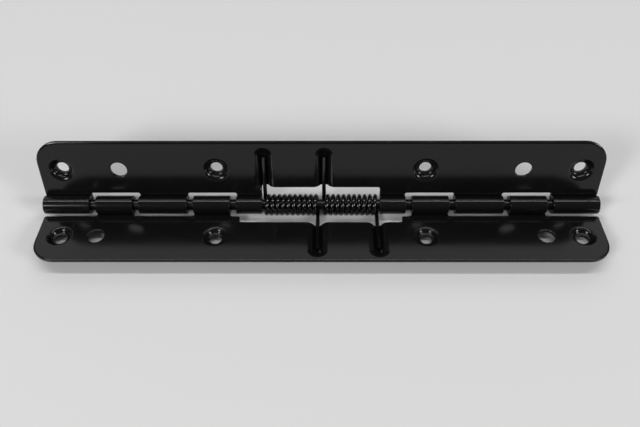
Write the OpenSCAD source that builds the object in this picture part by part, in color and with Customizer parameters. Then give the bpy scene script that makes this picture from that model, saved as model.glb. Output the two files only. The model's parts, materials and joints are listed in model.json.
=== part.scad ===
// Spring-loaded seat back hinge: two pressed steel leaves on one pin, opened by two torsion springs.
// Millimetres. The hinge lies as it comes to rest on a table: X along the pin, Z up, and the seat leaf
// towards -Y. The origin is at the middle of the underside.

/* [Leaves] */
// Length of both leaves and of the barrel
leaf_len = 305; // [290:1:340]
// Width of a leaf, from the pin axis to its outer edge
leaf_w = 37.8; // [36:0.1:48]
// Thickness of the sheet
sheet_t = 1.9; // [1.2:0.1:2.2]
// Radius of the outer corners
corner_r = 13; // [4:0.5:16]
// Room between the barrel and the notches that clear the other leaf's knuckles
notch_clear = 0.6; // [0.4:0.1:2]
// Radius in the roots of the notches and windows
notch_fillet = 1.2; // [0.4:0.1:1.6]

/* [Barrel] */
// Diameter of the pin
pin_d = 6.35; // [5:0.05:8]
// Radial room for the pin in the knuckles
pin_clear = 0.05; // [0.02:0.01:0.1]
// How far the pin's ends stay inside the barrel
pin_recess = 0.6; // [0.2:0.1:2]
// Chamfer on the pin's ends
pin_chamfer = 0.6; // [0.2:0.1:1]
// Length of the back leaf's knuckles beside the springs
inner_knuckle = 14; // [10:0.5:16]
// Length of the seat leaf's knuckles
seat_knuckle = 20.1; // [16:0.1:22]
// Length of the back leaf's middle knuckles
mid_knuckle = 26.5; // [22:0.5:28]
// Gap between neighbouring knuckles
knuckle_gap = 3.5; // [0.5:0.1:4]
// Gap between the end of a curl and its own leaf
curl_gap = 0.3; // [0.1:0.1:0.8]

/* [Springs] */
// Diameter of the spring wire
wire_d = 2.2; // [1.6:0.1:2.2]
// Outside diameter of the coils
coil_od = 12.2; // [11.6:0.1:13]
// Whole turns in each coil, beside the part turn between its legs
coil_turns = 10; // [7:1:10]
// Distance along the pin between the two legs of a spring
spring_span = 29.2; // [27:0.1:31]
// Distance along the pin between the neighbouring legs of the two springs
spring_apart = 3.4; // [3:0.1:8]
// Part of a turn over which the coil's pitch builds up from its legs
coil_ease = 0.15; // [0.1:0.05:0.8]
// Room between a coil's end and the knuckle beside it
spring_end_gap = 0.5; // [0.4:0.1:3]

/* [Spring windows and leg ribs] */
// Room between the coils and the back leaf's window edge
back_window_clear = 3.3; // [2:0.1:5]
// Room between the coils and the seat leaf's window edge
seat_window_clear = 4.1; // [2:0.1:5]
// Step between the seat leaf's knuckle and the deep part of its window
window_step = 5.4; // [2:0.1:8]
// Radius of a rib's floor, where the leg lies
rib_floor_r = 2.8; // [1.8:0.1:3.4]
// Room between a leg and the floor of its rib
leg_clear = 0.3; // [0.1:0.1:0.6]
// Flat sheet left between the back leaf's ribs and its outer edge
back_rib_margin = 2.6; // [1:0.1:6]
// Flat sheet left between the seat leaf's ribs and its outer edge
seat_rib_margin = 1.6; // [1:0.1:6]
// How far the legs' tips stop short of the shorter ribs' round ends
leg_end_gap = 2; // [0.5:0.1:6]
// Radius on the sheet's back where a rib or a dimple leaves the flat
press_back_r = 1; // [0.4:0.1:1.4]

/* [Screw holes] */
// Distance of the holes from the pin axis
hole_row = 20.7; // [18:0.1:23]
// Diameter of the screw holes
screw_d = 6.5; // [4.5:0.1:7]
// Flat ring around a screw hole at the bottom of its dimple
dimple_land = 0.3; // [0.2:0.1:1]
// Depth of the dimples that sink the screw heads
dimple_depth = 2.5; // [1.5:0.1:3]
// Radius where a dimple's wall meets its floor
dimple_floor_r = 1.4; // [0.8:0.1:2.4]
// Distance of the outer screw holes from the leaf's ends
outer_screw_inset = 12.2; // [11:0.1:14]
// Distance of the inner screw holes from the back leaf's window
inner_screw_offset = 24.1; // [18:0.1:30]
// Diameter of the plain bolt holes
bolt_d = 9; // [6:0.1:10]
// Distance from the back leaf's outer screw holes to its bolt holes
back_bolt_pitch = 31; // [18:0.1:34]
// Distance from the seat leaf's outer screw holes to its bolt holes
seat_bolt_pitch = 19.6; // [17:0.1:26]

/* [Pose] */
// Angle between the leaves where the springs are relaxed
open_angle = 98.5; // [85:0.5:120]

/* [Hidden] */
$fn = 72;
black_coat = [0.07, 0.07, 0.075];
black_wire = [0.12, 0.12, 0.125];
pin_steel = [0.16, 0.16, 0.165];
wire_sides = 8;
rings_per_turn = 18;
arc_steps = 8;

// Barrel
bore_r = pin_d / 2 + pin_clear;
barrel_r = bore_r + sheet_t;
notch_s = barrel_r + notch_clear;
curl_stop = asin((bore_r - curl_gap) / barrel_r);

// Springs
wire_r = wire_d / 2;
coil_r = coil_od / 2;
coil_mean = coil_r - wire_r;
inner_leg_x = spring_apart / 2;
outer_leg_x = inner_leg_x + spring_span;

// Knuckles to the right of the middle, as [start, end] along the pin, and mirrored to the left
window_half = outer_leg_x + wire_r + spring_end_gap;
inner_end = window_half + inner_knuckle;
near_seat = inner_end + knuckle_gap;
mid_start = near_seat + seat_knuckle + knuckle_gap;
far_seat = mid_start + mid_knuckle + knuckle_gap;
end_start = far_seat + seat_knuckle + knuckle_gap;
back_knuckles = [
    [window_half, inner_end],
    [mid_start, mid_start + mid_knuckle],
    [end_start, leaf_len / 2]
];
seat_knuckles = [
    [near_seat, near_seat + seat_knuckle],
    [far_seat, far_seat + seat_knuckle]
];
seat_window_half = near_seat - window_step;
back_window_s = coil_r + back_window_clear;
seat_window_s = coil_r + seat_window_clear;

// Ribs and dimples: two tangent arcs lead from the flat sheet down to the floor
press_r = press_back_r + sheet_t;
function press_run(depth, floor_r) = sqrt(2 * depth * (floor_r + press_r) - depth * depth);
rib_depth = coil_r + leg_clear - bore_r;
rib_half = press_run(rib_depth, rib_floor_r);
back_rib_end = leaf_w - back_rib_margin - rib_half;
seat_rib_end = leaf_w - seat_rib_margin - rib_half;
rib_back = barrel_r + rib_depth;
rib_xs = [-outer_leg_x, inner_leg_x];
rib_inner = inner_face(0, rib_depth, rib_floor_r);
rib_outer = outer_face(0, rib_depth, rib_floor_r);
leg_len = min(back_rib_end, seat_rib_end) - leg_end_gap;
dimple_flat = screw_d / 2 + dimple_land;
dimple_r = dimple_flat + press_run(dimple_depth, dimple_floor_r);

// Screw and bolt holes along the pin
outer_screw_x = leaf_len / 2 - outer_screw_inset;
inner_screw_x = window_half + inner_screw_offset;
screw_xs = [-outer_screw_x, -inner_screw_x, inner_screw_x, outer_screw_x];
back_bolt_x = outer_screw_x - back_bolt_pitch;
seat_bolt_x = outer_screw_x - seat_bolt_pitch;

// Rest: the coils and the inner ends of the seat leaf's ribs touch the table
seat_tilt = atan2(rib_back, seat_window_s) - asin(coil_r / norm([rib_back, seat_window_s]));
back_rise = 180 - seat_tilt - open_angle;
rib_ball_r = rib_floor_r + sheet_t;
rib_ball_o = bore_r + rib_depth - rib_floor_r;
front_reach = leaf_w * cos(seat_tilt) + barrel_r * sin(seat_tilt);
edge_reach = leaf_w * cos(back_rise) + barrel_r * sin(back_rise);
rib_reach = back_rib_end * cos(back_rise) + rib_ball_o * sin(back_rise) + rib_ball_r;
back_reach = max(edge_reach, rib_reach);
pin_axis = [0, (front_reach - back_reach) / 2, coil_r];

// A leaf is drawn with the pin axis as X, Y out along the leaf, and Z out of the side it closes on
module seat_frame() {
    translate(pin_axis) rotate([-seat_tilt, 0, 0]) rotate([0, 0, 180]) children();
}

module back_frame() {
    translate(pin_axis) rotate([back_rise, 0, 0]) children();
}

module both_sides() {
    children();
    mirror([1, 0, 0]) children();
}

// Points on an arc, after its first point
function arc(centre, r, from, to) =
    [for (i = [1:arc_steps])
        let (a = from + (to - from) * i / arc_steps)
        centre + r * [cos(a), sin(a)]];

// One face of pressed sheet, from its floor up to its rim, as two tangent arcs around the same centres
function press_face(flat, depth, floor_r, low_r, rim_r) =
    let (
        run = press_run(depth, floor_r),
        slope = atan2(floor_r + press_r - depth, run),
        low_centre = [flat, floor_r - depth],
        rim_centre = [flat + run, -press_r]
    )
    concat(
        [low_centre - [0, low_r]],
        arc(low_centre, low_r, -90, -slope),
        arc(rim_centre, rim_r, 180 - slope, 90)
    );

// Inner and outer face of the sheet: X out from the middle, Y = 0 on the flat sheet's inner face
function inner_face(flat, depth, floor_r) =
    press_face(flat, depth, floor_r, floor_r, press_r);
function outer_face(flat, depth, floor_r) =
    press_face(flat, depth, floor_r, floor_r + sheet_t, press_back_r);
function backwards(points) = [for (i = [len(points) - 1:-1:0]) points[i]];
function mirrored(points) = [for (p = points) [-p[0], p[1]]];

// Sunk seat for a screw head, with its hole
module dimple() {
    hole_r = screw_d / 2;
    rotate_extrude() polygon(concat(
        [[hole_r, -dimple_depth - sheet_t], [hole_r, -dimple_depth]],
        inner_face(dimple_flat, dimple_depth, dimple_floor_r),
        backwards(outer_face(dimple_flat, dimple_depth, dimple_floor_r))
    ));
}

module half_rib_section() {
    polygon(concat(rib_inner, backwards(rib_outer)));
}

module rib_section() {
    polygon(concat(
        mirrored(backwards(rib_inner)),
        rib_inner,
        backwards(rib_outer),
        mirrored(rib_outer)
    ));
}

// Channel for a spring leg, round at both ends, before the window opens its inner end
module rib(start_s, end_s) {
    translate([0, end_s, 0]) {
        rotate_extrude(angle = 180) half_rib_section();
        rotate([90, 0, 0]) linear_extrude(end_s - start_s) rib_section();
    }
    translate([0, start_s, 0]) rotate([0, 0, 180]) rotate_extrude(angle = 180) half_rib_section();
}

module rib_footprint(start_s, end_s) {
    both_sides() translate([0, start_s]) square([rib_half, end_s - start_s]);
    for (s = [start_s, end_s]) translate([0, s]) circle(rib_half);
}

// Opening for the springs, from the pin axis outwards, with round far corners
module window_shape(half, depth) {
    square_half = half - notch_fillet;
    translate([-half, 0]) square([2 * half, depth - notch_fillet]);
    translate([-square_half, 0]) square([2 * square_half, depth]);
    both_sides() translate([square_half, depth - notch_fillet]) circle(notch_fillet);
}

// Fills the root between a tab's right side and the leaf's notched edge
module root_fillet() {
    difference() {
        translate([0, -notch_fillet]) square(notch_fillet);
        translate([notch_fillet, -notch_fillet]) circle(notch_fillet);
    }
}

// Flat outline of a leaf: a plate with round outer corners and a tab for each knuckle
module leaf_outline(knuckles) {
    half = leaf_len / 2;
    translate([-half, notch_s]) square([leaf_len, leaf_w - corner_r - notch_s]);
    translate([corner_r - half, notch_s]) square([leaf_len - 2 * corner_r, leaf_w - notch_s]);
    both_sides() {
        translate([half - corner_r, leaf_w - corner_r]) circle(corner_r);
        for (k = knuckles) {
            translate([k[0], 0]) square([k[1] - k[0], notch_s + notch_fillet]);
            if (k[1] < half) translate([k[1], notch_s]) root_fillet();
            translate([k[0], notch_s]) mirror([1, 0]) root_fillet();
        }
    }
}

// Section of a rolled knuckle: X out along the leaf, Y out of its inner face
module curl_section() {
    far = 2 * barrel_r;
    difference() {
        circle(barrel_r);
        circle(bore_r);
        polygon([[0, 0], [0, -far], [far, -far], [far, -far * tan(curl_stop)]]);
    }
}

module knuckle(from, to) {
    translate([from, 0, 0]) rotate([90, 0, 90]) linear_extrude(to - from) curl_section();
}

// One pressed leaf with its knuckles, its spring window and its holes
module leaf(knuckles, window_x, window_s, rib_end, bolt_x) {
    translate([0, 0, -barrel_r]) linear_extrude(sheet_t) difference() {
        leaf_outline(knuckles);
        window_shape(window_x, window_s);
        for (x = rib_xs) translate([x, 0]) rib_footprint(window_s, rib_end);
        for (x = screw_xs) translate([x, hole_row]) circle(dimple_r);
        for (x = [-bolt_x, bolt_x]) translate([x, hole_row]) circle(d = bolt_d);
    }
    translate([0, 0, -bore_r]) {
        for (x = screw_xs) translate([x, hole_row, 0]) dimple();
        for (x = rib_xs) difference() {
            translate([x, 0, 0]) rib(window_s, rib_end);
            translate([0, 0, -2 * rib_back]) linear_extrude(3 * rib_back)
                window_shape(window_x, window_s);
        }
    }
    both_sides() for (k = knuckles) knuckle(k[0], k[1]);
}

module seat_leaf() {
    color(black_coat) seat_frame()
        leaf(seat_knuckles, seat_window_half, seat_window_s, seat_rib_end, seat_bolt_x);
}

module back_leaf() {
    color(black_coat) back_frame()
        leaf(back_knuckles, window_half, back_window_s, back_rib_end, back_bolt_x);
}

module hinge_pin() {
    r = pin_d / 2;
    half = leaf_len / 2 - pin_recess;
    color(pin_steel) translate(pin_axis) rotate([0, 90, 0]) rotate_extrude() polygon([
        [0, -half], [r - pin_chamfer, -half], [r, pin_chamfer - half],
        [r, half - pin_chamfer], [r - pin_chamfer, half], [0, half]
    ]);
}

// Share of a coil's length reached after a number of turns, level with the legs at both ends
function coil_advance(turn, turns) =
    let (whole = turns - coil_ease)
    turn < coil_ease ? turn * turn / (2 * coil_ease) / whole :
    turn > turns - coil_ease ? 1 - (turns - turn) * (turns - turn) / (2 * coil_ease) / whole :
    (turn - coil_ease / 2) / whole;

// Centre of the wire: around the pin from the back leaf's leg, by the underside, to the seat leaf's
function coil_point(turn, turns, start_x) =
    let (angle = back_rise - 90 - 360 * turn)
    [start_x + spring_span * coil_advance(turn, turns), coil_mean * cos(angle), coil_mean * sin(angle)];

// Corners of the wire around a point, given the directions out from the pin and along the wire
function wire_ring(centre, out, along) =
    let (across = cross(along, out), corner_r = wire_r / cos(180 / wire_sides))
    [for (i = [0:wire_sides - 1])
        let (a = 360 * (i + 0.5) / wire_sides)
        centre + corner_r * (cos(a) * out + sin(a) * across)];

function coil_ring(turn, turns, start_x) =
    let (
        step = 0.001,
        here = coil_point(turn, turns, start_x),
        ahead = coil_point(turn + step, turns, start_x) - coil_point(turn - step, turns, start_x),
        out = [0, here[1], here[2]] / coil_mean
    )
    wire_ring(here, out, ahead / norm(ahead));

// Torsion spring: a straight leg along the back leaf, the coil, and a straight leg along the seat leaf
module spring(start_x) {
    turns = coil_turns + (180 - open_angle) / 360;
    steps = ceil(turns * rings_per_turn);
    back_out = [0, sin(back_rise), -cos(back_rise)];
    back_along = [0, cos(back_rise), sin(back_rise)];
    seat_out = [0, -sin(seat_tilt), -cos(seat_tilt)];
    seat_along = [0, -cos(seat_tilt), sin(seat_tilt)];
    back_foot = [start_x, 0, 0] + coil_mean * back_out;
    seat_foot = [start_x + spring_span, 0, 0] + coil_mean * seat_out;
    rings = [
        wire_ring(back_foot + leg_len * back_along, back_out, -back_along),
        wire_ring(back_foot, back_out, -back_along),
        for (i = [1:steps - 1]) coil_ring(turns * i / steps, turns, start_x),
        wire_ring(seat_foot, seat_out, seat_along),
        wire_ring(seat_foot + leg_len * seat_along, seat_out, seat_along)
    ];
    last = len(rings) - 1;
    side_faces = [for (r = [0:last - 1], i = [0:wire_sides - 1])
        let (
            a = r * wire_sides + i,
            b = r * wire_sides + (i + 1) % wire_sides
        )
        each [[a, b, b + wire_sides], [a, b + wire_sides, a + wire_sides]]];
    first_cap = [for (i = [wire_sides - 1:-1:0]) i];
    last_cap = [for (i = [0:wire_sides - 1]) last * wire_sides + i];
    translate(pin_axis) polyhedron(
        points = [for (ring = rings) each ring],
        faces = concat(side_faces, [first_cap, last_cap])
    );
}

module left_spring() {
    color(black_wire) spring(-outer_leg_x);
}

module right_spring() {
    color(black_wire) spring(inner_leg_x);
}

seat_leaf();
back_leaf();
hinge_pin();
left_spring();
right_spring();
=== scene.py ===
"""Dresses a spring-loaded seat back hinge: black coated leaves, wire springs and pin, on a pale floor."""
import json
import math
from dataclasses import dataclass

import bpy
from bpy.props import FloatProperty, IntProperty, PointerProperty, StringProperty
from mathutils import Matrix, Vector
from mathutils.geometry import delaunay_2d_cdt
from mathutils.kdtree import KDTree


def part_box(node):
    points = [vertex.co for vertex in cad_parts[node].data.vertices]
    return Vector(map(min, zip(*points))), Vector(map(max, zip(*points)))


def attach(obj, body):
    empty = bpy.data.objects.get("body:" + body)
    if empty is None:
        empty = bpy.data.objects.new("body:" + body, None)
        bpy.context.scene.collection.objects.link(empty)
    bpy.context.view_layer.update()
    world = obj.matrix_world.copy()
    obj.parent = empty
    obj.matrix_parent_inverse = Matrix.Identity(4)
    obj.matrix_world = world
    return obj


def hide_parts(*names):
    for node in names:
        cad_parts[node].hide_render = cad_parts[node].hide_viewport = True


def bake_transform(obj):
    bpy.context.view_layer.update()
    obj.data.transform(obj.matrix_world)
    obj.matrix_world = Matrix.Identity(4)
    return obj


bl_info = {
    "name": "Seat Back Hinge",
    "version": (1, 0, 0),
    "blender": (4, 5, 0),
    "location": "View3D > Sidebar > Hinge",
    "description": "Dresses the frame of a spring-loaded seat back hinge with its coat, springs and pin",
    "category": "Object",
}

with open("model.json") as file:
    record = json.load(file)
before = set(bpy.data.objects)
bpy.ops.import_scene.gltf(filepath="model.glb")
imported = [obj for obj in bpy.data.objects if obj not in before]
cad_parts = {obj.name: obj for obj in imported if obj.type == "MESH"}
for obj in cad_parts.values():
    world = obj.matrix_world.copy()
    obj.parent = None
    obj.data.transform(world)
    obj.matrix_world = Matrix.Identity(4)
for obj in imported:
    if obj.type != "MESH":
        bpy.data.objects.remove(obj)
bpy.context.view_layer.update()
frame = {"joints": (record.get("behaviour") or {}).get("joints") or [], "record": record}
MM = 0.001
TINY = 1e-6
SEAT_BODY = "seat_side"
BACK_BODY = "back_side"
IMAGE_WIDTH = 640
MOUNTS = {mount["name"]: mount for mount in frame["record"]["mounts"]}

# Directions on the leaves at rest: out of the inner face, and away from the pin along the sheet
ALONG_PIN = Vector((1, 0, 0))
PIN_CENTRE = Vector(frame["joints"][0]["pos_m"])
SEAT_INNER = -Vector(MOUNTS["seat_bolts"]["axis"])
SEAT_ALONG = ALONG_PIN.cross(SEAT_INNER)
BACK_INNER = -Vector(MOUNTS["back_bolts"]["axis"])
BACK_ALONG = BACK_INNER.cross(ALONG_PIN)
SEAT_TILT = math.atan2(SEAT_INNER.y, SEAT_INNER.z)
BACK_RISE = math.atan2(BACK_ALONG.z, BACK_ALONG.y)
OPEN_ANGLE = math.pi - SEAT_TILT - BACK_RISE


def length(name, description, millimetres):
    """A property that holds a length, with its default given in millimetres."""
    return FloatProperty(
        name=name, description=description, default=millimetres * MM, unit="LENGTH", precision=5)


def colour(name, description, hex_colour):
    """A property that holds a colour as sRGB hex."""
    return StringProperty(name=name, description=description, default=hex_colour)


class HingeLeafSettings(bpy.types.PropertyGroup):
    """Sheet, knuckles, windows and pressings of the two leaves."""

    coat: colour("Coat", "Colour of the black coat", "#0C0C0D")
    thin_coat: colour("Thin coat", "Colour of the coat where it is thinnest", "#121213")
    peel: length("Orange peel", "Distance between the coat's low waves", 1.7)
    cloud: length("Cloud", "Distance between places where the coat is thin", 18)
    thickness: length("Thickness", "Thickness of the sheet", 1.9)
    width: length("Leaf width", "Distance from the pin axis to a leaf's outer edge", 37.8)
    bore_r: length("Bore radius", "Inner radius of the rolled knuckles", 3.225)
    corner_r: length("Corner radius", "Radius of the outer corners", 13)
    notch: length("Notch", "Distance from the pin axis to the notched edge", 5.725)
    fillet: length("Fillet", "Radius in the roots of the notches and windows", 1.2)
    curl_gap: length("Curl gap", "Gap between the end of a curl and its own leaf", 0.3)
    inner_knuckle: length("Inner knuckle", "Length of the back leaf's knuckles beside the springs", 14)
    seat_knuckle: length("Seat knuckle", "Length of the seat leaf's knuckles", 20.1)
    mid_knuckle: length("Middle knuckle", "Length of the back leaf's middle knuckles", 26.5)
    knuckle_gap: length("Knuckle gap", "Gap between neighbouring knuckles", 3.5)
    back_window_half: length("Back window", "Half the length of the back leaf's spring window", 32.5)
    back_window: length("Back window depth", "Depth of that window from the pin axis", 9.4)
    window_step: length("Window step", "Step from the seat leaf's knuckle to its window", 5.4)
    seat_window: length("Seat window depth", "Depth of the seat leaf's window from the pin axis", 10.2)
    outer_rib: length("Outer rib", "Place of a leaf's outer rib along the pin", 30.9)
    inner_rib: length("Inner rib", "Place of a leaf's inner rib along the pin", 1.7)
    rib_depth: length("Rib depth", "Depth of the ribs that hold the spring legs", 3.175)
    rib_floor_r: length("Rib floor radius", "Radius of a rib's floor", 2.8)
    back_rib_margin: length("Back rib margin", "Flat sheet outside the back leaf's ribs", 2.6)
    seat_rib_margin: length("Seat rib margin", "Flat sheet outside the seat leaf's ribs", 1.6)
    rib_rim_r: length("Rib rim radius", "Radius where the inner face turns into a rib", 4.6)
    dimple_rim_r: length("Dimple rim radius", "Radius where the inner face turns into a dimple", 2.9)
    dimple_land: length("Dimple land", "Flat ring around a screw hole", 0.3)
    dimple_depth: length("Dimple depth", "Depth of the dimples for the screw heads", 2.5)
    dimple_floor_r: length("Dimple floor radius", "Radius where a dimple's wall meets its floor", 1.4)
    roll_r: length("Roll-over radius", "Radius of the outer edge that the punch drew down", 2.0)
    roll_turn: FloatProperty(
        name="Roll-over turn", description="Angle through which the roll-over turns down",
        default=math.radians(32), subtype="ANGLE")
    notch_roll: FloatProperty(
        name="Notch roll-over", description="Share of the roll-over on notches, windows and screw holes",
        default=0.3, subtype="FACTOR")
    bolt_roll: FloatProperty(
        name="Bolt hole roll-over", description="Share of the roll-over on the bolt holes",
        default=0.6, subtype="FACTOR")
    edge_r: length("Edge radius", "Radius that the coat leaves on the other edges", 0.22)


class HingeSpringSettings(bpy.types.PropertyGroup):
    """Wire and coils of the two torsion springs."""

    wire: colour("Wire", "Colour of the coated wire", "#0B0B0C")
    pin: colour("Pin", "Colour of the coated pin", "#0A0A0A")
    wire_d: length("Wire diameter", "Diameter of the spring wire", 2.2)
    coil_d: length("Coil diameter", "Outside diameter of the coils", 12.2)
    span: length("Span", "Distance along the pin between the two legs of a spring", 29.2)
    leg: length("Leg length", "Length of a leg from the coil to its tip", 28.09)
    whole_turns: IntProperty(
        name="Whole turns", description="Whole turns in a coil, beside the part turn between its legs",
        default=10)
    flat_turn: FloatProperty(
        name="Flat turn", description="Part of a turn that stays flat at each end of a coil",
        default=0.075, subtype="FACTOR")
    steps_per_turn: IntProperty(
        name="Steps per turn", description="Rings of the wire in one turn", default=44)
    wire_sides: IntProperty(name="Wire sides", description="Faces around the wire", default=18)
    pin_chamfer: length("Pin chamfer", "Chamfer on the ends of the pin", 0.6)
    pin_edge_r: length("Pin edge radius", "Radius on the edges of those chamfers", 0.2)


class HingeStageSettings(bpy.types.PropertyGroup):
    """Floor, light and camera."""

    floor: colour("Floor", "Colour of the floor paper", "#DCDCDC")
    focal_px: FloatProperty(
        name="Focal length", description="Focal length in pixels of the image",
        default=665.0, subtype="PIXEL")
    distance: length("Camera distance", "Distance from the pin to the camera", 368.2)
    above_seat: FloatProperty(
        name="View over seat leaf", description="Angle between the view and the seat leaf",
        default=math.radians(44.77), subtype="ANGLE")
    camera_x: length("Camera offset", "Place of the camera along the pin", 1.83)
    aim_x: length("Aim offset", "Place along the pin that the camera looks at", -0.48)
    aim_below: length("Aim below pin", "How far the middle of the view lies below the pin", 4.87)


def linear(hex_colour):
    """Linear RGBA of an sRGB hex colour."""
    channels = [int(hex_colour[i:i + 2], 16) / 255 for i in (1, 3, 5)]
    return [c / 12.92 if c <= 0.04045 else ((c + 0.055) / 1.055) ** 2.4 for c in channels] + [1.0]


def add_node(tree, kind, inputs=None, **settings):
    """Adds a node with its settings, and sets its inputs to values or links them to other sockets."""
    node = tree.nodes.new(kind)
    for name, value in settings.items():
        setattr(node, name, value)
    for key, value in (inputs or {}).items():
        if isinstance(value, bpy.types.NodeSocket):
            tree.links.new(value, node.inputs[key])
        else:
            node.inputs[key].default_value = value
    return node


def new_material(name):
    """An empty material and its node tree."""
    material = bpy.data.materials.new(name)
    material.use_nodes = True
    material.node_tree.nodes.clear()
    return material, material.node_tree


def black_electrocoat(settings):
    """Black electrocoat on pressed steel: a thin dipped film, semi-gloss, with low orange peel waves."""
    material, tree = new_material("black_electrocoat")
    place = add_node(tree, "ShaderNodeTexCoord").outputs["Object"]
    peel = add_node(tree, "ShaderNodeTexNoise",
                    {"Vector": place, "Scale": 1 / settings.peel, "Detail": 2.0, "Roughness": 0.5})
    bump = add_node(tree, "ShaderNodeBump",
                    {"Height": peel.outputs["Fac"], "Strength": 0.06, "Distance": 0.05 * MM})
    cloud = add_node(tree, "ShaderNodeTexNoise",
                     {"Vector": place, "Scale": 1 / settings.cloud, "Detail": 4.0}).outputs["Fac"]
    tone = add_node(tree, "ShaderNodeMix",
                    {"Factor": cloud, "A": linear(settings.coat), "B": linear(settings.thin_coat)},
                    data_type="RGBA")
    rough = add_node(tree, "ShaderNodeMapRange",
                     {"Value": cloud, "From Min": 0.3, "From Max": 0.7, "To Min": 0.12, "To Max": 0.17})
    shader = add_node(tree, "ShaderNodeBsdfPrincipled",
                      {"Base Color": tone.outputs["Result"], "Roughness": rough.outputs["Result"],
                       "IOR": 1.38, "Normal": bump.outputs["Normal"]})
    add_node(tree, "ShaderNodeOutputMaterial", {"Surface": shader.outputs["BSDF"]})
    return material


def coated_wire(settings):
    """Black coated spring wire: drawn smooth, so glossier than the sheet, with faint lines along it."""
    material, tree = new_material("black_coated_spring_wire")
    run = add_node(tree, "ShaderNodeAttribute", attribute_name="wire_run").outputs["Fac"]
    around = add_node(tree, "ShaderNodeAttribute", attribute_name="wire_round").outputs["Fac"]
    place = add_node(tree, "ShaderNodeCombineXYZ", {"X": run, "Y": around})
    line_length, lines_around = 6 * MM, 24
    drawn = add_node(tree, "ShaderNodeMapping",
                     {"Vector": place.outputs["Vector"], "Scale": (1 / line_length, lines_around, 1)})
    lines = add_node(tree, "ShaderNodeTexNoise",
                     {"Vector": drawn.outputs["Vector"], "Scale": 1.0, "Detail": 3.0}).outputs["Fac"]
    bump = add_node(tree, "ShaderNodeBump", {"Height": lines, "Strength": 0.08, "Distance": 0.02 * MM})
    rough = add_node(tree, "ShaderNodeMapRange",
                     {"Value": lines, "From Min": 0.3, "From Max": 0.7, "To Min": 0.06, "To Max": 0.11})
    shader = add_node(tree, "ShaderNodeBsdfPrincipled",
                      {"Base Color": linear(settings.wire), "Roughness": rough.outputs["Result"],
                       "IOR": 1.52, "Normal": bump.outputs["Normal"]})
    add_node(tree, "ShaderNodeOutputMaterial", {"Surface": shader.outputs["BSDF"]})
    return material


def coated_rod(settings):
    """Black coated steel rod: cold drawn, so it has fine rings of tool marks and a duller coat."""
    material, tree = new_material("black_coated_steel_rod")
    place = add_node(tree, "ShaderNodeTexCoord").outputs["Object"]
    ring_spacing, ring_reach = 0.4 * MM, 25 * MM
    rings = add_node(tree, "ShaderNodeMapping",
                     {"Vector": place, "Scale": (1 / ring_spacing, 1 / ring_reach, 1 / ring_reach)})
    marks = add_node(tree, "ShaderNodeTexNoise",
                     {"Vector": rings.outputs["Vector"], "Scale": 1.0, "Detail": 3.0}).outputs["Fac"]
    rough = add_node(tree, "ShaderNodeMapRange",
                     {"Value": marks, "From Min": 0.3, "From Max": 0.7, "To Min": 0.22, "To Max": 0.32})
    shader = add_node(tree, "ShaderNodeBsdfPrincipled", {
        "Base Color": linear(settings.pin), "Roughness": rough.outputs["Result"], "IOR": 1.4})
    add_node(tree, "ShaderNodeOutputMaterial", {"Surface": shader.outputs["BSDF"]})
    return material


def new_object(name, mesh):
    """An object at the origin with that mesh, linked into the scene."""
    piece = bpy.data.objects.new(name, mesh)
    bpy.context.scene.collection.objects.link(piece)
    return piece


def settle_modifiers(piece):
    """Turns a piece and its modifiers into a plain mesh."""
    shown = piece.evaluated_get(bpy.context.evaluated_depsgraph_get())
    mesh = bpy.data.meshes.new_from_object(shown)
    piece.modifiers.clear()
    piece.data = mesh


# Flat patterns: X along the pin and Y away from it, on the sheet's inner face

ARC_STEPS = 8
HOLE_SIDES = 56
BEND_ROWS = 48
RIB_ROW = 1.1 * MM
RIB_END_ROW = 0.7 * MM
ROLL_STEPS = 4
EDGE_STEPS = 3
BORDER_ROOM = 0.25 * MM


def round_corners(corners):
    """Points of a closed outline, given as corners with a radius each."""
    points = []
    neighbours = zip(corners[-1:] + corners[:-1], corners, corners[1:] + corners[:1])
    for (before, _), (here, radius), (after, _) in neighbours:
        if not radius:
            points.append(here)
            continue
        back = (before - here).normalized()
        onward = (after - here).normalized()
        half = back.angle(onward) / 2
        centre = here + (back + onward).normalized() * radius / math.sin(half)
        start = here + back * radius / math.tan(half) - centre
        end = here + onward * radius / math.tan(half) - centre
        points += [centre + radius * start.slerp(end, i / ARC_STEPS) for i in range(ARC_STEPS + 1)]
    return points


def split_edges(loop, axis, values, lowest=-math.inf):
    """The closed loop with a point added where an edge past a lowest Y crosses a value on an axis."""
    result = []
    for here, ahead in zip(loop, loop[1:] + loop[:1]):
        result.append(here)
        if here.y < lowest:
            continue
        low, high = sorted((here[axis], ahead[axis]))
        crossed = {v for v in values if low + TINY < v < high - TINY}
        for value in sorted(crossed, key=lambda v: abs(v - here[axis])):
            result.append(here.lerp(ahead, (value - here[axis]) / (ahead[axis] - here[axis])))
    return result


def inward_steps(loop):
    """For each point of a loop with the sheet on its left, the step that moves its edges inwards by one."""
    steps = []
    for before, here, after in zip(loop[-1:] + loop[:-1], loop, loop[1:] + loop[:1]):
        first = (here - before).normalized().orthogonal()
        second = (after - here).normalized().orthogonal()
        steps.append((first + second) / (1 + first.dot(second)))
    return steps


def circle(centre, radius, sides, start=0.0, sweep=math.tau):
    """Points around a circle, or along a part of it."""
    angles = [start + sweep * i / sides for i in range(sides)]
    return [centre + radius * Vector((math.cos(a), math.sin(a))) for a in angles]


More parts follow.
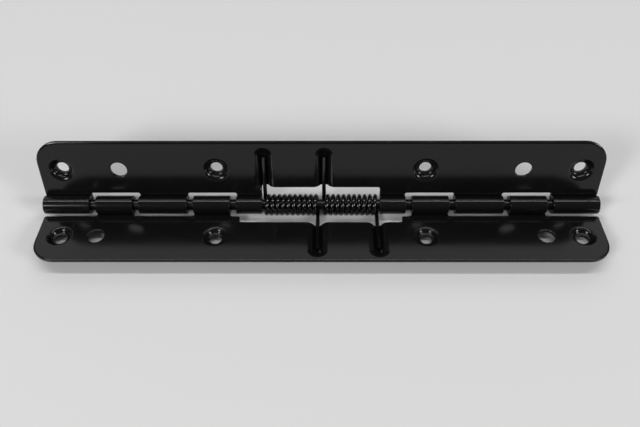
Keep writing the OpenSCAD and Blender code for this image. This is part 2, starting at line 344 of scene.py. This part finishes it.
class Pressing:
    """A place sunk into the sheet about a line or a point: a floor, then two tangent arcs up to the rim."""

    def __init__(self, start, end, flat, depth, floor_r, rim_r):
        self.start, self.end = start, end
        self.flat, self.depth, self.floor_r, self.rim_r = flat, depth, floor_r, rim_r
        self.run = math.sqrt(2 * depth * (floor_r + rim_r) - depth * depth)
        self.wall = math.asin(self.run / (floor_r + rim_r))
        self.reach = flat + self.run

    def offsets(self):
        """Distances from the line at which the wall gets a row of points."""
        turns = [self.wall * i / ARC_STEPS for i in range(1, ARC_STEPS + 1)]
        low = [self.flat + self.floor_r * math.sin(a) for a in turns]
        high = [self.reach - self.rim_r * math.sin(self.wall - a) for a in turns]
        return low + high

    def sink(self, point):
        """Depth of the inner face at a point of the flat pattern, and its gradient there."""
        along = self.end - self.start
        share = 0
        if along.length:
            share = min(1, max(0, (point - self.start).dot(along) / along.length_squared))
        away = point - self.start - share * along
        distance = away.length
        if distance >= self.reach:
            return 0, Vector((0, 0))
        if distance <= self.flat + TINY * TINY:
            return self.depth, Vector((0, 0))
        if distance < self.flat + self.floor_r * math.sin(self.wall):
            out = distance - self.flat
            rise = math.sqrt(self.floor_r ** 2 - out ** 2)
            return self.depth - self.floor_r + rise, away / distance * -out / rise
        out = self.reach - distance
        rise = math.sqrt(self.rim_r ** 2 - out ** 2)
        return self.rim_r - rise, away / distance * -out / rise


@dataclass
class Leaf:
    """One leaf as a flat pattern, with what is cut from it, pressed into it and rolled from it."""

    node: str
    body: str
    along: Vector
    inner: Vector
    outline: list
    bolts: list
    screws: list
    pressings: list
    bore_r: float

    def station(self, point):
        """On the finished inner face: the place, the normal, and how X and Y of the pattern run there."""
        across = self.along.cross(self.inner)
        if point.y < 0:
            angle = -point.y / self.bore_r
            normal = math.sin(angle) * self.along + math.cos(angle) * self.inner
            place = PIN_CENTRE + point.x * across - self.bore_r * normal
            return place, normal, across, math.cos(angle) * self.along - math.sin(angle) * self.inner
        depth, slope = 0, Vector((0, 0))
        for pressing in self.pressings:
            more, gradient = pressing.sink(point)
            depth += more
            slope += gradient
        place = PIN_CENTRE + point.x * across + point.y * self.along - (self.bore_r + depth) * self.inner
        normal = (slope.x * across + slope.y * self.along + self.inner).normalized()
        return place, normal, across - slope.x * self.inner, self.along - slope.y * self.inner


def leaf_outline(settings, half_length, tabs, window, curl_length):
    """Corners of a leaf's flat pattern with their radii, from the window's middle round to the left end."""
    half_window, depth = window
    right = [(half_window, depth, settings.fillet)]
    if half_window < tabs[0][0]:
        right.append((half_window, settings.notch, settings.fillet))
    for start, end in tabs:
        if start > half_window:
            right.append((start, settings.notch, settings.fillet))
        right += [(start, -curl_length, 0), (end, -curl_length, 0)]
        if end < half_length:
            right.append((end, settings.notch, settings.fillet))
    if tabs[-1][1] < half_length:
        right.append((half_length, settings.notch, settings.fillet))
    right.append((half_length, settings.width, settings.corner_r))
    left = [(-x, y, radius) for x, y, radius in reversed(right)]
    return [(Vector((x, y)), radius) for x, y, radius in right + left]


def plan_leaves(settings):
    """The back leaf and the seat leaf as flat patterns."""
    half_length = (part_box("seat_leaf")[1].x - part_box("seat_leaf")[0].x) / 2
    barrel_r = settings.bore_r + settings.thickness
    curl_angle = 1.5 * math.pi + math.asin((settings.bore_r - settings.curl_gap) / barrel_r)
    curl_length = curl_angle * settings.bore_r
    gap = settings.knuckle_gap
    inner_end = settings.back_window_half + settings.inner_knuckle
    near_seat = inner_end + gap
    mid_start = near_seat + settings.seat_knuckle + gap
    far_seat = mid_start + settings.mid_knuckle + gap
    end_start = far_seat + settings.seat_knuckle + gap
    back_tabs = [
        (settings.back_window_half, inner_end),
        (mid_start, mid_start + settings.mid_knuckle),
        (end_start, half_length),
    ]
    seat_tabs = [(start, start + settings.seat_knuckle) for start in (near_seat, far_seat)]
    back_window = (settings.back_window_half, settings.back_window)
    seat_window = (near_seat - settings.window_step, settings.seat_window)
    # Rows of points from near the end of the curls to a little past their foot
    rows = [curl_length * i / BEND_ROWS for i in range(3 - BEND_ROWS, BEND_ROWS // 3)]
    leaves = []
    for name, body, along, inner, tabs, window, margin in (
            ("back", BACK_BODY, BACK_ALONG, BACK_INNER, back_tabs, back_window, settings.back_rib_margin),
            ("seat", SEAT_BODY, SEAT_ALONG, SEAT_INNER, seat_tabs, seat_window, settings.seat_rib_margin)):
        bolts = mount_holes(f"{name}_bolts", along)
        screws = mount_holes(f"{name}_outer_screws", along) + mount_holes(f"{name}_inner_screws", along)
        ribs = []
        for x in (-settings.outer_rib, settings.inner_rib):
            rib = Pressing(Vector((x, window[1])), Vector((x, settings.width)), 0,
                           settings.rib_depth, settings.rib_floor_r, settings.rib_rim_r)
            rib.end.y -= margin + rib.reach
            ribs.append(rib)
        dimples = [
            Pressing(centre, centre, radius + settings.dimple_land,
                     settings.dimple_depth, settings.dimple_floor_r, settings.dimple_rim_r)
            for centre, radius in screws]
        outline = round_corners(leaf_outline(settings, half_length, tabs, window, curl_length))
        outline = split_edges(outline, 1, rows)
        for rib in ribs:
            offsets = [0] + rib.offsets()
            lines = [rib.start.x + side * offset for side in (-1, 1) for offset in offsets]
            outline = split_edges(outline, 0, lines, lowest=0)
        leaves.append(Leaf(f"{name}_leaf", body, along, inner, outline, bolts, screws,
                           ribs + dimples, settings.bore_r))
    return leaves


def mount_holes(name, along):
    """Centres and radii of a pair of holes on a leaf's flat pattern, from the record's mount."""
    mount = MOUNTS[name]
    row = (Vector(mount["pos_m"]) - PIN_CENTRE).dot(along)
    x = mount["dims"]["pcd_mm"] * MM / 2
    return [(Vector((side * x, row)), mount["dims"]["hole_r_mm"] * MM) for side in (-1, 1)]


def edge_rings(settings):
    """Rings across a cut edge: how far in, how deep, how the normal leans out and up, and if it rolls."""
    sharp_in = settings.edge_r * (1 - math.sin(settings.roll_turn))
    sharp_top = settings.roll_r - (settings.roll_r - settings.edge_r) * math.cos(settings.roll_turn)
    rings = []
    for i in range(ROLL_STEPS + 1):
        turn = settings.roll_turn * i / ROLL_STEPS
        inset = sharp_in + settings.roll_r * (math.sin(settings.roll_turn) - math.sin(turn))
        depth = settings.roll_r * (1 - math.cos(turn))
        rings.append((inset, depth, (math.sin(turn), math.cos(turn)), True))
    for i in range(1, EDGE_STEPS + 1):
        turn = settings.roll_turn + (math.pi / 2 - settings.roll_turn) * i / EDGE_STEPS
        rings.append((settings.edge_r * (1 - math.sin(turn)), sharp_top - settings.edge_r * math.cos(turn),
                      (math.sin(turn), math.cos(turn)), True))
    for i in range(EDGE_STEPS + 1):
        turn = math.pi / 2 * i / EDGE_STEPS
        rings.append((settings.edge_r * (1 - math.cos(turn)),
                      settings.thickness - settings.edge_r * (1 - math.sin(turn)),
                      (math.cos(turn), -math.sin(turn)), False))
    return rings


class SheetMesh:
    """Mesh of one leaf: both faces of the sheet and its rounded cut edges, pressed and rolled."""

    def __init__(self, leaf, settings):
        self.leaf = leaf
        self.thickness = settings.thickness
        self.places, self.normals, self.faces = [], [], []
        inner_edges = max(settings.back_window, settings.seat_window) + 2 * settings.fillet
        shares = [settings.notch_roll if point.y < inner_edges else 1 for point in leaf.outline]
        rings = edge_rings(settings)
        self.borders = [self.add_border(leaf.outline, shares, rings)]
        for holes, share in ((leaf.bolts, settings.bolt_roll), (leaf.screws, settings.notch_roll)):
            for centre, radius in holes:
                rim = circle(centre, radius, HOLE_SIDES, sweep=-math.tau)
                self.borders.append(self.add_border(rim, [share] * HOLE_SIDES, rings))
        self.add_curls()
        self.add_faces()

    def add_point(self, point, depth, out=None, lean=(0, 1)):
        """A vertex under a point of the flat pattern, with its normal. Returns its index."""
        place, normal, run_x, run_y = self.leaf.station(point)
        facing = lean[1] * normal
        if out is not None:
            facing = facing - lean[0] * (out.x * run_x + out.y * run_y).normalized()
        self.places.append(place - depth * normal)
        self.normals.append(facing.normalized())
        return len(self.places) - 1

    def add_border(self, loop, shares, rings):
        """The rounded edge along a loop. Returns its points on the inner face, and both faces' vertices."""
        steps = inward_steps(loop)
        indices = []
        for inset, depth, lean, rolls in rings:
            indices.append([])
            for point, step, share in zip(loop, steps, shares):
                size = share if rolls else 1
                indices[-1].append(self.add_point(point + size * inset * step, size * depth, step, lean))
        for upper, lower in zip(indices, indices[1:]):
            for i, j in zip(range(len(loop)), [*range(1, len(loop)), 0]):
                self.faces.append((upper[i], lower[i], lower[j], upper[j]))
        face = [point + share * rings[0][0] * step for point, step, share in zip(loop, steps, shares)]
        return face, indices[0], indices[-1]

    def add_curls(self):
        """The rolled tabs: rows of long faces from one side of a tab to the other."""
        points, upper, lower = self.borders[0]
        bent = [i for i, point in enumerate(points) if point.y < TINY]
        self.tab_feet = []
        run = [bent[0]]
        for before, i in zip(bent, bent[1:] + [None]):
            if i == before + 1:
                run.append(i)
                continue
            for left, next_left, right, next_right in zip(run, run[1:], run[::-1], run[-2::-1]):
                if left < right - 1:
                    self.faces.append((upper[left], upper[next_left], upper[next_right], upper[right]))
                    self.faces.append((lower[right], lower[next_right], lower[next_left], lower[left]))
            self.tab_feet.append((run[0], run[-1]))
            run = [i]

    def add_faces(self):
        """Both faces of the flat part, with rows of points across the pressings."""
        flat, edges, uppers, lowers, rims = [], [], [], [], []
        for rim, (points, upper, lower) in enumerate(self.borders):
            kept = {}
            for i, point in enumerate(points):
                if point.y > -TINY:
                    kept[i] = len(flat)
                    flat.append(point)
                    uppers.append(upper[i])
                    lowers.append(lower[i])
                    rims.append(rim)
            ahead = [*range(1, len(points)), 0]
            edges += [(kept[i], kept[j]) for i, j in enumerate(ahead) if i in kept and j in kept]
            if rim == 0:
                edges += [(kept[left], kept[right]) for left, right in self.tab_feet]
        border = KDTree(len(flat))
        for i, point in enumerate(flat):
            border.insert((*point, 0), i)
        border.balance()
        for point in self.pressed_points():
            if border.find((*point, 0))[2] > BORDER_ROOM:
                flat.append(point)
                uppers.append(self.add_point(point, 0))
                lowers.append(self.add_point(point, self.thickness, lean=(0, -1)))
                rims.append(0)
        _, _, triangles, sources, _, _ = delaunay_2d_cdt(flat, edges, [], 1, TINY / 100)
        for triangle in triangles:
            a, b, c = (sources[i][0] for i in triangle)
            # Three points on the rim of one hole span the hole
            if rims[a] == rims[b] == rims[c] > 0:
                continue
            self.faces.append((uppers[a], uppers[b], uppers[c]))
            self.faces.append((lowers[c], lowers[b], lowers[a]))

    def pressed_points(self):
        """Points of the flat pattern across each rib and dimple."""
        for pressing in self.leaf.pressings:
            length = (pressing.end - pressing.start).length
            for offset in ([0] if length else []) + pressing.offsets():
                if not length:
                    yield from circle(pressing.start, offset, HOLE_SIDES)
                    continue
                rows = round(length / RIB_ROW)
                for side in ((-1, 1) if offset else (1,)):
                    for i in range(1, rows):
                        yield pressing.start + Vector((side * offset, length * i / rows))
                if offset:
                    sides = max(4, round(math.pi * offset / RIB_END_ROW))
                    yield from circle(pressing.end, offset, sides, sweep=math.pi)
                    yield pressing.end - Vector((offset, 0))
                else:
                    yield pressing.end

    def to_mesh(self, name):
        """The finished mesh, with the normals of the true surface."""
        mesh = bpy.data.meshes.new(name)
        mesh.from_pydata(self.places, [], self.faces)
        mesh.shade_smooth()
        mesh.normals_split_custom_set_from_vertices(self.normals)
        return mesh


class HINGE_OT_leaves(bpy.types.Operator):
    """Cuts, presses, rolls and coats the two leaves"""

    bl_idname = "hinge.leaves"
    bl_label = "Coated leaves"

    def execute(self, context):
        settings = context.scene.hinge_leaf
        coat = black_electrocoat(settings)
        for leaf in plan_leaves(settings):
            mesh = SheetMesh(leaf, settings).to_mesh(f"coated_{leaf.node}")
            mesh.materials.append(coat)
            piece = new_object(f"coated_{leaf.node}", mesh)
            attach(piece, leaf.body)
            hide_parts(leaf.node)
        return {"FINISHED"}


def spring_tree(settings, material):
    """Geometry Nodes tree that winds one torsion spring, from the back leaf's leg to the seat leaf's."""
    tree = bpy.data.node_groups.new("torsion_spring", "GeometryNodeTree")
    leg_rings = 12
    turns = settings.whole_turns + 0.5 - OPEN_ANGLE / math.tau
    back_leg_angle = BACK_RISE - math.pi / 2
    coil_end = leg_rings + round(turns * settings.steps_per_turn)
    flat_rings = settings.flat_turn * settings.steps_per_turn
    sizes = {
        "Start": 0.0,
        "End": settings.span,
        "Coil radius": (settings.coil_d - settings.wire_d) / 2,
        "Wire radius": settings.wire_d / 2,
        "Leg": settings.leg,
        "Start angle": back_leg_angle,
        "End angle": back_leg_angle - turns * math.tau,
        "Coil start": leg_rings,
        "Coil end": coil_end,
        "Pitch start": leg_rings + flat_rings,
        "Pitch end": coil_end - flat_rings,
        "Last ring": coil_end + leg_rings,
    }
    for name, value in sizes.items():
        tree.interface.new_socket(name, in_out="INPUT", socket_type="NodeSocketFloat").default_value = value
    sides = tree.interface.new_socket("Wire sides", in_out="INPUT", socket_type="NodeSocketInt")
    sides.default_value = settings.wire_sides
    tree.interface.new_socket("Geometry", in_out="OUTPUT", socket_type="NodeSocketGeometry")
    given = add_node(tree, "NodeGroupInput").outputs
    ring = add_node(tree, "GeometryNodeInputIndex").outputs["Index"]

    # Around the pin from the back leaf's leg, by the underside, to the seat leaf's leg
    angle = add_node(tree, "ShaderNodeMapRange", {
        "Value": ring, "From Min": given["Coil start"], "From Max": given["Coil end"],
        "To Min": given["Start angle"], "To Max": given["End angle"]})
    x = add_node(tree, "ShaderNodeMapRange", {
        "Value": ring, "From Min": given["Pitch start"], "From Max": given["Pitch end"],
        "To Min": given["Start"], "To Max": given["End"]})
    arm = add_node(tree, "ShaderNodeCombineXYZ", {"X": x.outputs["Result"], "Y": given["Coil radius"]})
    reach = add_node(tree, "ShaderNodeVectorMath", {0: arm.outputs["Vector"], 1: PIN_CENTRE})
    place = add_node(tree, "ShaderNodeVectorRotate", {
        "Vector": reach.outputs["Vector"], "Center": PIN_CENTRE, "Angle": angle.outputs["Result"]},
        rotation_type="X_AXIS").outputs["Vector"]
    for direction, leave, tip in ((BACK_ALONG, given["Coil start"], 0.0),
                                  (SEAT_ALONG, given["Coil end"], given["Last ring"])):
        run = add_node(tree, "ShaderNodeMapRange",
                       {"Value": ring, "From Min": leave, "From Max": tip, "To Max": given["Leg"]})
        leg = add_node(tree, "ShaderNodeVectorMath",
                       {0: direction, "Scale": run.outputs["Result"]}, operation="SCALE")
        moved = add_node(tree, "ShaderNodeVectorMath", {0: place, 1: leg.outputs["Vector"]})
        place = moved.outputs["Vector"]

    count = add_node(tree, "ShaderNodeMath", {0: given["Last ring"], 1: 1.0}).outputs["Value"]
    line = add_node(tree, "GeometryNodeMeshLine", {"Count": count})
    path = add_node(tree, "GeometryNodeSetPosition", {"Geometry": line.outputs["Mesh"], "Position": place})
    curve = add_node(tree, "GeometryNodeMeshToCurve", {"Mesh": path.outputs["Geometry"]})
    spot = add_node(tree, "GeometryNodeSplineParameter").outputs
    marked = add_node(tree, "GeometryNodeStoreNamedAttribute",
                      {"Geometry": curve.outputs["Curve"], "Name": "wire_run", "Value": spot["Length"]})
    section = add_node(tree, "GeometryNodeCurvePrimitiveCircle",
                       {"Resolution": given["Wire sides"], "Radius": given["Wire radius"]})
    marked_section = add_node(tree, "GeometryNodeStoreNamedAttribute", {
        "Geometry": section.outputs["Curve"], "Name": "wire_round", "Value": spot["Factor"]})
    wire = add_node(tree, "GeometryNodeCurveToMesh", {
        "Curve": marked.outputs["Geometry"], "Profile Curve": marked_section.outputs["Geometry"],
        "Fill Caps": True})
    smooth = add_node(tree, "GeometryNodeSetShadeSmooth", {"Geometry": wire.outputs["Mesh"]})
    real = add_node(tree, "GeometryNodeRealizeInstances", {"Geometry": smooth.outputs["Geometry"]})
    coated = add_node(tree, "GeometryNodeSetMaterial",
                      {"Geometry": real.outputs["Geometry"], "Material": material})
    add_node(tree, "NodeGroupOutput", {"Geometry": coated.outputs["Geometry"]})
    return tree


class HINGE_OT_springs(bpy.types.Operator):
    """Winds the two torsion springs around the pin"""

    bl_idname = "hinge.springs"
    bl_label = "Torsion springs"

    def execute(self, context):
        settings = context.scene.hinge_spring
        tree = spring_tree(settings, coated_wire(settings))
        sockets = {item.name: item.identifier for item in tree.interface.items_tree}
        ribs = context.scene.hinge_leaf
        for side, start in (("left", -ribs.outer_rib), ("right", ribs.inner_rib)):
            piece = new_object(f"wound_{side}_spring", bpy.data.meshes.new(f"wound_{side}_spring"))
            winding = piece.modifiers.new("winding", "NODES")
            winding.node_group = tree
            winding[sockets["Start"]] = start
            winding[sockets["End"]] = start + settings.span
            settle_modifiers(piece)
            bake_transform(piece)
            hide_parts(f"{side}_spring")
        return {"FINISHED"}


class HINGE_OT_pin(bpy.types.Operator):
    """Turns the pin that carries the knuckles"""

    bl_idname = "hinge.pin"
    bl_label = "Hinge pin"

    def execute(self, context):
        settings = context.scene.hinge_spring
        low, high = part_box("hinge_pin")
        radius = (high.y - low.y) / 2
        half = (high.x - low.x) / 2
        sides = 64
        shoulder = half - settings.pin_chamfer
        flat_r = radius - settings.pin_chamfer
        edges = [(half, flat_r), (shoulder, radius), (-shoulder, radius), (-half, flat_r)]
        section = round_corners([(Vector((-half, 0)), 0), (Vector((half, 0)), 0)]
                                + [(Vector(edge), settings.pin_edge_r) for edge in edges])
        profile = [point for point in reversed(section) if point.y > 0]
        places = [
            PIN_CENTRE + Vector((x, r * math.cos(math.tau * i / sides), r * math.sin(math.tau * i / sides)))
            for x, r in profile for i in range(sides)]
        faces = [tuple(range(sides))[::-1], tuple(range(len(places) - sides, len(places)))]
        for ring in range(len(profile) - 1):
            for i in range(sides):
                here, ahead = ring * sides + i, ring * sides + (i + 1) % sides
                faces.append((here, ahead, ahead + sides, here + sides))
        mesh = bpy.data.meshes.new("turned_hinge_pin")
        mesh.from_pydata(places, [], faces)
        mesh.shade_smooth()
        mesh.materials.append(coated_rod(settings))
        piece = new_object("turned_hinge_pin", mesh)
        piece.modifiers.new("normals", "WEIGHTED_NORMAL")
        settle_modifiers(piece)
        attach(piece, BACK_BODY)
        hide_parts("hinge_pin")
        return {"FINISHED"}


class HINGE_OT_stage(bpy.types.Operator):
    """Sets the pale floor, the soft light and the camera"""

    bl_idname = "hinge.stage"
    bl_label = "Stage"

    def execute(self, context):
        settings = context.scene.hinge_stage
        scene = context.scene
        scene.view_settings.view_transform = "Standard"
        self.add_floor(settings)
        self.add_surround(scene)
        self.add_lamps(scene)
        self.add_camera(scene, settings)
        return {"FINISHED"}

    def add_floor(self, settings):
        material, tree = new_material("matt_floor_paper")
        shader = add_node(tree, "ShaderNodeBsdfPrincipled", {
            "Base Color": linear(settings.floor), "Roughness": 0.9, "Specular IOR Level": 0.1})
        add_node(tree, "ShaderNodeOutputMaterial", {"Surface": shader.outputs["BSDF"]})
        reach = 4.0
        mesh = bpy.data.meshes.new("floor")
        corners = [(-reach, -reach, 0), (reach, -reach, 0), (reach, reach, 0), (-reach, reach, 0)]
        mesh.from_pydata(corners, [], [(0, 1, 2, 3)])
        mesh.materials.append(material)
        new_object("floor", mesh)

    def add_surround(self, scene):
        """A dim room that is a little lighter overhead."""
        world = bpy.data.worlds.new("dim_room")
        scene.world = world
        world.use_nodes = True
        tree = world.node_tree
        tree.nodes.clear()
        direction = add_node(tree, "ShaderNodeTexCoord").outputs["Generated"]
        height = add_node(tree, "ShaderNodeSeparateXYZ", {"Vector": direction}).outputs["Z"]
        strength = add_node(tree, "ShaderNodeMapRange", {"Value": height, "To Min": 0.03, "To Max": 0.16})
        room = add_node(tree, "ShaderNodeBackground",
                        {"Strength": strength.outputs["Result"], "Color": (1, 1, 1, 1)})
        add_node(tree, "ShaderNodeOutputWorld", {"Surface": room.outputs["Background"]})

    def add_lamps(self, scene):
        """A strip overhead, a wide panel behind, and a softbox on each side."""
        for name, place, size, energy in (
                ("overhead_strip", Vector((0, 0.37, 1.88)), (3.0, 0.12), 16.5),
                ("back_panel", Vector((0, 1.8, 1.32)), (3.3, 1.8), 14.5),
                ("left_softbox", Vector((-1.05, -0.98, 1.01)), (0.5, 0.5), 13.2),
                ("right_softbox", Vector((1.5, -0.75, 0.78)), (0.5, 0.5), 12.8)):
            lamp = bpy.data.lights.new(name, "AREA")
            lamp.shape = "RECTANGLE"
            lamp.size, lamp.size_y = size
            lamp.energy = energy
            softbox = bpy.data.objects.new(name, lamp)
            softbox.location = PIN_CENTRE + place
            facing = place.normalized()
            aside = Vector((1, 0, 0)) if abs(facing.x) < 0.5 else Vector((0, 1, 0))
            upward = facing.cross(aside).normalized()
            softbox.rotation_euler = Matrix((upward.cross(facing), upward, facing)).transposed().to_euler()
            scene.collection.objects.link(softbox)

    def add_camera(self, scene, settings):
        elevation = SEAT_TILT + settings.above_seat
        sight_up = Vector((0, math.sin(elevation), math.cos(elevation)))
        towards = Vector((0, -math.cos(elevation), math.sin(elevation)))
        lens = bpy.data.cameras.new("camera")
        lens.sensor_width = 36.0
        lens.lens = settings.focal_px / IMAGE_WIDTH * lens.sensor_width
        camera = bpy.data.objects.new("camera", lens)
        middle = PIN_CENTRE - settings.aim_below * sight_up
        target = middle + settings.aim_x * ALONG_PIN
        camera.location = middle + settings.camera_x * ALONG_PIN + settings.distance * towards
        back = (camera.location - target).normalized()
        camera.rotation_euler = Matrix((sight_up.cross(back), sight_up, back)).transposed().to_euler()
        lens.clip_start = 0.01
        scene.collection.objects.link(camera)
        scene.camera = camera


class HINGE_PT_panel(bpy.types.Panel):
    """Lists the hinge's operators"""

    bl_label = "Seat back hinge"
    bl_idname = "HINGE_PT_panel"
    bl_space_type = "VIEW_3D"
    bl_region_type = "UI"
    bl_category = "Hinge"

    def draw(self, context):
        for operator in OPERATORS:
            self.layout.operator(operator.bl_idname)


OPERATORS = (HINGE_OT_stage, HINGE_OT_leaves, HINGE_OT_pin, HINGE_OT_springs)
SETTINGS = {
    "hinge_leaf": HingeLeafSettings,
    "hinge_spring": HingeSpringSettings,
    "hinge_stage": HingeStageSettings,
}
CLASSES = (*SETTINGS.values(), *OPERATORS, HINGE_PT_panel)


def register():
    for cls in CLASSES:
        bpy.utils.register_class(cls)
    for name, group in SETTINGS.items():
        setattr(bpy.types.Scene, name, PointerProperty(type=group))


def unregister():
    for name in SETTINGS:
        delattr(bpy.types.Scene, name)
    for cls in reversed(CLASSES):
        bpy.utils.unregister_class(cls)


def main():
    register()
    bpy.ops.hinge.stage()
    bpy.ops.hinge.leaves()
    bpy.ops.hinge.pin()
    bpy.ops.hinge.springs()


if __name__ == "__main__":
    main()
